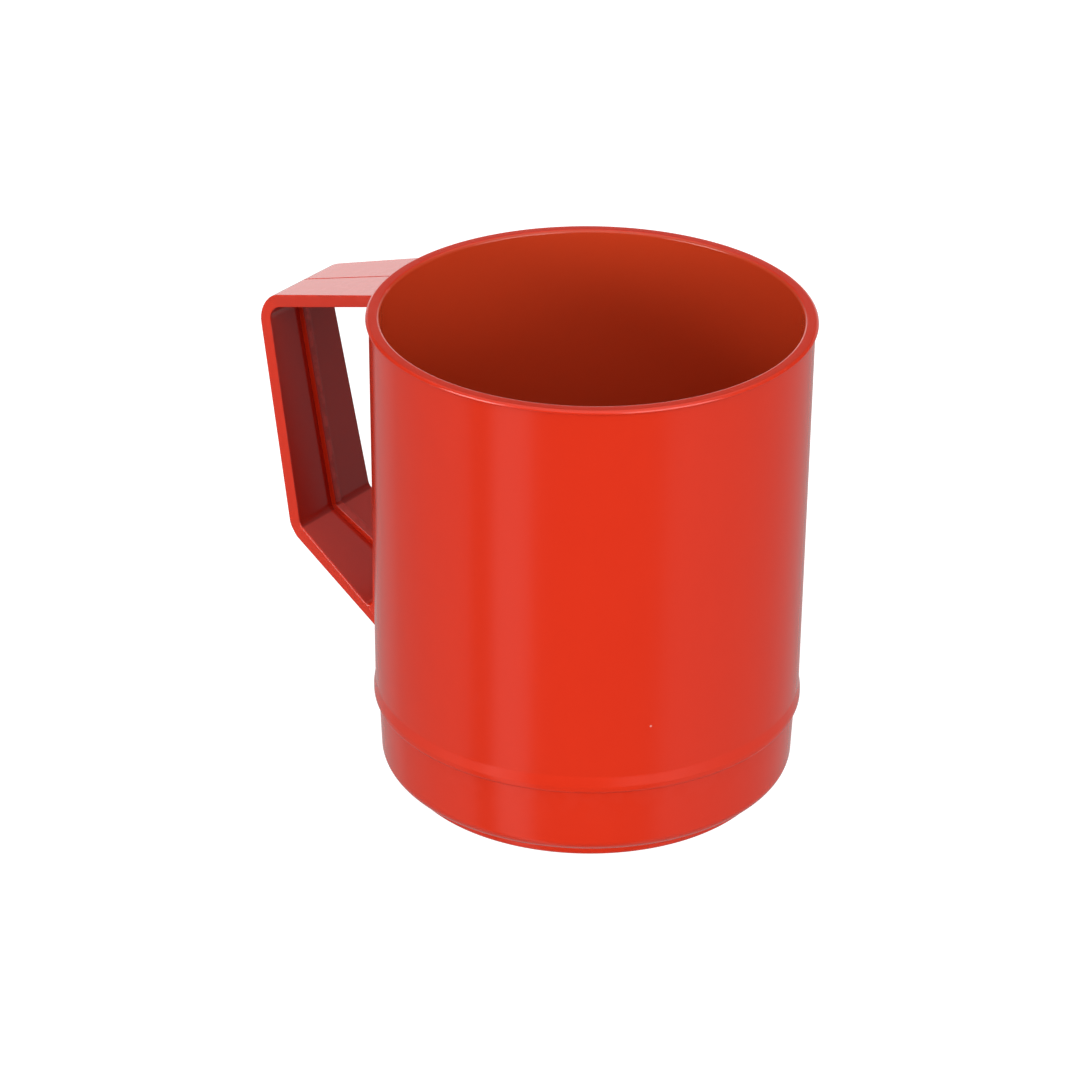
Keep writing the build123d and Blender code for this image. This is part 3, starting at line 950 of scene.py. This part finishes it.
@dataclass
class Screen:
    """The woven screen in its pressed channel, and the snap ring that holds it down."""

    floor_top: float = 5.3
    sheet: float = 0.35
    layer: float = 0.4
    pitch: float = 1.6
    wire_radius: float = 0.18
    channel_radius: float = 47.4
    lip_width: float = 2.8
    wire_reach: float = 46.6
    pin_hole: float = 2.3
    clamp_outer: float = 49.85
    clamp_inner: float = 44.8
    clamp_gap: float = 0.15
    clamp_rise: float = 4.6
    clamp_crown: float = 0.8
    clamp_lip: float = 0.9
    crimp: float = 0.19

    @property
    def middle(self) -> float:
        """The height of the screen's mid-plane."""
        return self.floor_top + self.sheet + self.layer

    @property
    def top(self) -> float:
        """The height of the channel's top."""
        return self.floor_top + self.sheet * 2.0 + self.layer * 2.0

    def wire_line(self, offset: float, parity: int) -> list[list[Vector]]:
        """The crimped lines of one wire, broken where it meets the pin.

        Args:
            offset: The wire's distance from the middle.
            parity: 0 or 1, for the side on which its first crossing lies.

        Returns:
            One or two runs of points, a point at each crossing.
        """
        half_length = math.sqrt(self.wire_reach**2 - offset**2)
        count = int(half_length / self.pitch)
        runs: list[list[Vector]] = [[]]
        for index in range(-count, count + 1):
            along = index * self.pitch
            if math.hypot(along, offset) < self.pin_hole:
                if runs[-1]:
                    runs.append([])
                continue
            lift = self.crimp * 2.0 * (-1) ** (index + parity)
            runs[-1].append(Vector((along, offset, self.middle + lift)))
        return [run for run in runs if len(run) > 2]

    def weave(self, turn: float, first_parity: int, name: str) -> BMesh:
        """Every wire that runs one way, as round crimped tubes.

        Args:
            turn: The angle of the wires from X.
            first_parity: Which side of the other wires the middle wire starts on.
            name: A name for the curve that the tubes come from.

        Returns:
            The wires' mesh in millimetres.
        """
        curve = bpy.data.curves.new(name, "CURVE")
        curve.dimensions = "3D"
        curve.bevel_depth = self.wire_radius
        curve.bevel_resolution = 1
        curve.resolution_u = 3
        curve.use_fill_caps = True
        turned_to = Matrix.Rotation(turn, 4, "Z")
        count = int(self.wire_reach / self.pitch)
        for index in range(-count, count + 1):
            for run in self.wire_line(index * self.pitch, (index + first_parity) % 2):
                spline = curve.splines.new("NURBS")
                spline.points.add(len(run) - 1)
                for point, place in zip(spline.points, run):
                    point.co = (turned_to @ place).to_4d()
                spline.order_u = 3
                spline.use_endpoint_u = True
        holder = bpy.data.objects.new(name, curve)
        data = bpy.data.meshes.new_from_object(holder)
        mesh = bmesh.new()
        mesh.from_mesh(data)
        bpy.data.objects.remove(holder)
        bpy.data.curves.remove(curve)
        bpy.data.meshes.remove(data)
        weld(mesh)
        return mesh

    def channel(self) -> BMesh:
        """The pressed channel round the screen's edge, open inwards."""
        top, bottom = self.top, self.floor_top
        inner = self.channel_radius - self.lip_width
        throat = self.channel_radius - self.sheet
        corners = [
            Corner(inner, bottom, 0.1, 2),
            Corner(self.channel_radius, bottom, 0.3, 4),
            Corner(self.channel_radius, top, 0.3, 4),
            Corner(inner, top, 0.1, 2),
            Corner(inner, top - self.sheet, 0.1, 2),
            Corner(throat, top - self.sheet, 0.1, 2),
            Corner(throat, bottom + self.sheet, 0.1, 2),
            Corner(inner, bottom + self.sheet, 0.1, 2),
        ]
        return turned(corners, LARGE_TURN_STEPS)

    def clamp(self) -> BMesh:
        """The snap ring: it stands on the floor ring, and its top slopes down to the screen."""
        top, step = self.top, self.channel_radius + self.clamp_gap
        crown = top + self.clamp_rise
        corners = [
            Corner(self.clamp_outer, self.floor_top, 0.15, 2),
            Corner(self.clamp_outer, crown, 0.4, 4),
            Corner(self.clamp_outer - self.clamp_crown, crown, 0.38, 4),
            Corner(self.clamp_inner, top + self.clamp_lip, 0.5, 5),
            Corner(self.clamp_inner, top, 0.1, 2),
            Corner(step, top, 0.1, 2),
            Corner(step, self.floor_top, 0.1, 2),
        ]
        return turned(corners, LARGE_TURN_STEPS)

    def build(self, finishes: Finishes) -> None:
        """Build the two wire layers, the channel and the snap ring."""
        for parity, run in enumerate(("weft", "warp")):
            wires = as_piece(self.weave(parity * QUARTER_TURN, parity, run), f"screen_{run}", finishes.wire)
            settle(wires, Body.BASE_UNIT, f"screen_{run}_wires")
        channel = as_piece(self.channel(), "screen_channel", finishes.pressed)
        settle(channel, Body.BASE_UNIT, "screen_rim")
        clamp = as_piece(self.clamp(), "screen_snap_ring", finishes.red)
        settle(clamp, Body.BASE_UNIT, "screen_clamp")


@dataclass
class Pivot:
    """The headed pin, its washers and the push-on cap."""

    pin_radius: float = 2.0
    head_radius: float = 4.2
    head_height: float = 0.7
    washer_radius: float = 6.0
    cap_radius: float = 5.0
    cap_roof: float = 1.2
    groove_depth: float = 0.35
    groove_low: float = 1.1
    groove_high: float = 1.35
    bore: float = 2.05

    def pin(self) -> BMesh:
        """The pin, with a domed head below and a chamfered end above."""
        low, high = heights("pivot_pin")
        shoulder = low + self.head_height
        corners = [
            Corner(0.0, low),
            Corner(self.head_radius, low, self.head_height * 0.6, 5),
            Corner(self.head_radius, shoulder, 0.1, 2),
            Corner(self.pin_radius, shoulder, 0.1, 2),
            Corner(self.pin_radius, high, 0.4, 3),
            Corner(0.0, high),
        ]
        return turned(corners, SMALL_TURN_STEPS, closed=False)

    def washer(self, node: str) -> BMesh:
        """A flat washer with slightly rounded edges, at its node's height."""
        low, high = heights(node)
        corners = [
            Corner(self.washer_radius, low, 0.1, 2),
            Corner(self.washer_radius, high, 0.12, 3),
            Corner(self.bore, high, 0.08, 2),
            Corner(self.bore, low, 0.08, 2),
        ]
        return turned(corners, SMALL_TURN_STEPS)

    def cap(self) -> BMesh:
        """The push-on cap: a domed button with a grip groove round its foot."""
        low, high = heights("pin_cap")
        roof, groove = high - self.cap_roof, self.cap_radius - self.groove_depth
        corners = [
            Corner(0.0, roof),
            Corner(self.pin_radius, roof),
            Corner(self.pin_radius, low, 0.15, 2),
            Corner(self.cap_radius, low, 0.25, 3),
            Corner(self.cap_radius, low + self.groove_low, 0.2, 3),
            Corner(groove, low + self.groove_high, 0.15, 3),
            Corner(groove, high, 1.9, 8),
            Corner(0.0, high),
        ]
        return turned(corners, SMALL_TURN_STEPS, closed=False)

    def build(self, finishes: Finishes) -> None:
        """Build the pin and everything that stays on it without turning."""
        pin = as_piece(self.pin(), "pivot", finishes.turned)
        settle(pin, Body.BASE_UNIT, "pivot_pin")
        for node, finish, slot in (
            ("pin_washer_lower", finishes.pressed, Slot.PRESSED_STAINLESS),
            ("pin_washer_upper", finishes.pressed, Slot.PRESSED_STAINLESS),
            ("hub_thrust_washer", finishes.white, Slot.WHITE_PLASTIC),
        ):
            piece = as_piece(self.washer(node), f"{node}_disc", finish)
            settle(piece, Body.BASE_UNIT, node)
        cap = as_piece(self.cap(), "pin_button", finishes.white)
        settle(cap, Body.BASE_UNIT, "pin_cap")


# --- Agitator -------------------------------------------------------------------------


@dataclass
class Agitator:
    """The free-turning hub and its four bent wire loops."""

    low: float
    high: float
    hub_radius: float = 6.5
    flange_radius: float = 8.0
    flange_height: float = 2.6
    bore: float = 2.05
    loops: int = 4
    wire_radius: float = 1.0
    reach: float = 41.0
    bend_radius: float = 4.6
    root_radius: float = 3.4
    end_inset: float = 1.9
    rest_turn_deg: float = 30.0
    wire_sides: int = 20
    bend_steps: int = 10

    @classmethod
    def from_frame(cls) -> Agitator:
        """Take the hub's height from its node."""
        return cls(*heights("agitator_hub"))

    def hub(self) -> BMesh:
        """The hub: a barrel on a foot flange, with a bore for the pin."""
        flange_top = self.low + self.flange_height
        corners = [
            Corner(self.bore, self.low, 0.2, 2),
            Corner(self.flange_radius, self.low, 0.3, 3),
            Corner(self.flange_radius, flange_top, 0.8, 5),
            Corner(self.hub_radius, flange_top, 0.35, 4),
            Corner(self.hub_radius, self.high, 0.8, 5),
            Corner(self.bore, self.high, 0.3, 3),
        ]
        return turned(corners, SMALL_TURN_STEPS)

    def ring_end(self, mesh: BMesh, ring: list[BMEdge], run: Vector) -> list:
        """Draw the wire out straight and return its new end ring."""
        made = bmesh.ops.extrude_edge_only(mesh, edges=ring)["geom"]
        bmesh.ops.translate(mesh, vec=run, verts=[i for i in made if isinstance(i, BMVert)])
        return [item for item in made if isinstance(item, BMEdge)]

    def ring_bend(self, mesh: BMesh, ring: list[BMEdge], centre: Vector) -> list:
        """Bend the wire a quarter turn about a centre and return its new end ring."""
        verts = list({vert for edge in ring for vert in edge.verts})
        made = bmesh.ops.spin(
            mesh,
            geom=verts + ring,
            cent=centre,
            axis=(0.0, -1.0, 0.0),
            angle=QUARTER_TURN,
            steps=self.bend_steps,
            use_merge=False,
        )["geom_last"]
        return [item for item in made if isinstance(item, BMEdge)]

    def loop(self, turn: float) -> BMesh:
        """One wire loop: out over the screen, up, and back above it.

        Args:
            turn: The loop's angle about the pin.

        Returns:
            A closed tube in millimetres.
        """
        low, high = self.low + self.end_inset, self.high - self.end_inset
        out = self.reach - self.bend_radius - self.root_radius
        mesh = bmesh.new()
        bmesh.ops.create_circle(mesh, segments=self.wire_sides, radius=self.wire_radius)
        rotate(mesh, QUARTER_TURN, "Y")
        bmesh.ops.translate(mesh, vec=(self.root_radius, 0.0, low), verts=mesh.verts[:])
        ring = self.ring_end(mesh, mesh.edges[:], Vector((out, 0.0, 0.0)))
        corner = self.reach - self.bend_radius
        ring = self.ring_bend(mesh, ring, Vector((corner, 0.0, low + self.bend_radius)))
        ring = self.ring_end(mesh, ring, Vector((0.0, 0.0, high - low - 2.0 * self.bend_radius)))
        ring = self.ring_bend(mesh, ring, Vector((corner, 0.0, high - self.bend_radius)))
        self.ring_end(mesh, ring, Vector((-out, 0.0, 0.0)))
        ends = [edge for edge in mesh.edges if len(edge.link_faces) == 1]
        bmesh.ops.holes_fill(mesh, edges=ends, sides=self.wire_sides)
        weld(mesh)
        rotate(mesh, turn)
        return mesh

    def build(self, finishes: Finishes) -> None:
        """Build the hub and its loops."""
        hub = as_piece(self.hub(), "hub", finishes.white)
        settle(hub, Body.AGITATOR, "agitator_hub")
        for index in range(self.loops):
            turn = math.radians(self.rest_turn_deg) + index * math.tau / self.loops
            piece = as_piece(self.loop(turn), f"wire_loop_{index + 1}", finishes.turned)
            settle(piece, Body.AGITATOR, f"agitator_loop_{index + 1}")


# --- Studio ---------------------------------------------------------------------------


@dataclass
class Studio:
    """A pale floor, soft light and the camera."""

    floor_radius_m: float = 6.0
    camera_place_m: tuple[float, float, float] = (0.5247, -0.7483, 0.5347)
    camera_aim_m: tuple[float, float, float] = (-0.00989, -0.00713, 0.06265)
    camera_roll_deg: float = 0.44
    lens_mm: float = 137.5
    sensor_mm: float = 36.0
    light_strength: float = 0.89
    ceiling_tone: float = 1.15
    table_tones: Tones = (
        (-180.0, 0.60), (-150.0, 0.50), (-124.0, 0.40), (-100.0, 0.42), (-68.0, 0.50),
        (-62.0, 0.15), (-54.0, 0.15), (-49.0, 0.80), (-35.0, 0.80), (-26.0, 0.20),
        (34.0, 0.20), (46.0, 0.50), (110.0, 0.42), (150.0, 0.50),
    )
    horizon_tones: Tones = (
        (-130.0, 0.10), (-76.0, 0.15), (-72.0, 9.2), (-47.0, 9.2), (-39.0, 0.12),
        (12.0, 0.15), (20.0, 5.7), (58.0, 5.7), (68.0, 0.25), (130.0, 0.10),
        (155.0, 0.8), (172.0, 1.68), (-165.0, 1.68), (-150.0, 0.4),
    )
    band_heights: Tones = ((-0.19, -0.10), (0.26, 0.38), (0.55, 0.95))
    wall_tones: Tones = (
        (-130.0, 0.12), (-60.0, 0.2), (-20.0, 1.5), (40.0, 1.8), (75.0, 0.3),
        (160.0, 0.12),
    )

    def floor(self) -> Object:
        """A round floor that the object stands on."""
        mesh = bmesh.new()
        bmesh.ops.create_circle(mesh, cap_ends=True, segments=96, radius=self.floor_radius_m)
        floor = linked(mesh, "studio_floor", scale=1.0)
        floor.data.materials.append(StudioFloor().material())
        floor.visible_glossy = False
        floor.visible_diffuse = False
        return floor

    def surroundings(self) -> None:
        """White studio walls: bright at the camera's side above the table, grey below it."""
        world = bpy.data.worlds.new("studio_walls")
        bpy.context.scene.world = world
        world.use_nodes = True
        sheet = NodeSheet(world.node_tree)
        direction = sheet.add("ShaderNodeTexCoord").outputs["Generated"]
        apart = sheet.add("ShaderNodeSeparateXYZ", {0: direction}).outputs
        angle = sheet.math("ARCTAN2", apart[1], apart[0])
        share = sheet.plus(sheet.math("DIVIDE", angle, math.tau), 0.5)
        bands = []
        for tones in (self.table_tones, self.horizon_tones, self.wall_tones):
            band = sheet.add("ShaderNodeValToRGB", {"Fac": share})
            self.paint_walls(band.color_ramp, tones)
            bands.append(band.outputs[0])
        colour = bands[0]
        ceiling = (self.ceiling_tone, self.ceiling_tone, self.ceiling_tone, 1.0)
        for above, (low, high) in zip((*bands[1:], ceiling), self.band_heights):
            colour = sheet.mix(sheet.ramp(apart[2], low, high), colour, above)
        glow = sheet.add("ShaderNodeBackground", {"Color": colour, "Strength": self.light_strength})
        sheet.add("ShaderNodeOutputWorld", {"Surface": glow.outputs[0]})

    def paint_walls(self, ramp: ColorRamp, tones: Tones) -> None:
        """Set how bright a band of the walls is all the way round.

        Args:
            ramp: The band's ramp, once round from -X through -Y.
            tones: Degrees to the right of the camera's direction, seen from the cup, and brightness.
        """
        camera_deg = math.degrees(math.atan2(self.camera_place_m[1], self.camera_place_m[0]))
        ramp.interpolation = "EASE"
        while len(ramp.elements) > 1:
            ramp.elements.remove(ramp.elements[-1])
        placed = sorted((((camera_deg + offset) / 360.0 + 0.5) % 1.0, value) for offset, value in tones)
        first = ramp.elements[0]
        first.position, first.color = placed[0][0], (placed[0][1],) * 3 + (1.0,)
        for position, value in placed[1:]:
            ramp.elements.new(position).color = (value,) * 3 + (1.0,)

    def camera(self) -> None:
        """Place the camera and make it the scene's own."""
        data = bpy.data.cameras.new("studio_camera")
        data.lens = self.lens_mm
        data.sensor_width = self.sensor_mm
        data.clip_start, data.clip_end = 0.01, 50.0
        camera = bpy.data.objects.new("studio_camera", data)
        bpy.context.scene.collection.objects.link(camera)
        place, aim = Vector(self.camera_place_m), Vector(self.camera_aim_m)
        facing = (aim - place).to_track_quat("-Z", "Y")
        camera.rotation_mode = "QUATERNION"
        camera.location = place
        camera.rotation_quaternion = facing @ Quaternion((0, 0, 1), math.radians(self.camera_roll_deg))
        bpy.context.scene.camera = camera

    def build(self) -> None:
        """Set up the floor, the light, the camera and plain colour handling."""
        self.floor()
        self.surroundings()
        self.camera()
        bpy.context.scene.view_settings.view_transform = "Standard"


def main() -> None:
    """Load the frame and build every sub-assembly in order."""
    logging.basicConfig(level=logging.INFO, format="%(name)s: %(message)s")
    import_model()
    finishes = Finishes.make()
    cup = Cup.from_frame()
    cup.build(finishes.red)
    Handle(cup).build(finishes.red)
    BaseBasket.from_frame(cup).build(finishes.red)
    Screen().build(finishes)
    Pivot().build(finishes)
    Agitator.from_frame().build(finishes)
    Studio().build()


if __name__ == "__main__":
    main()
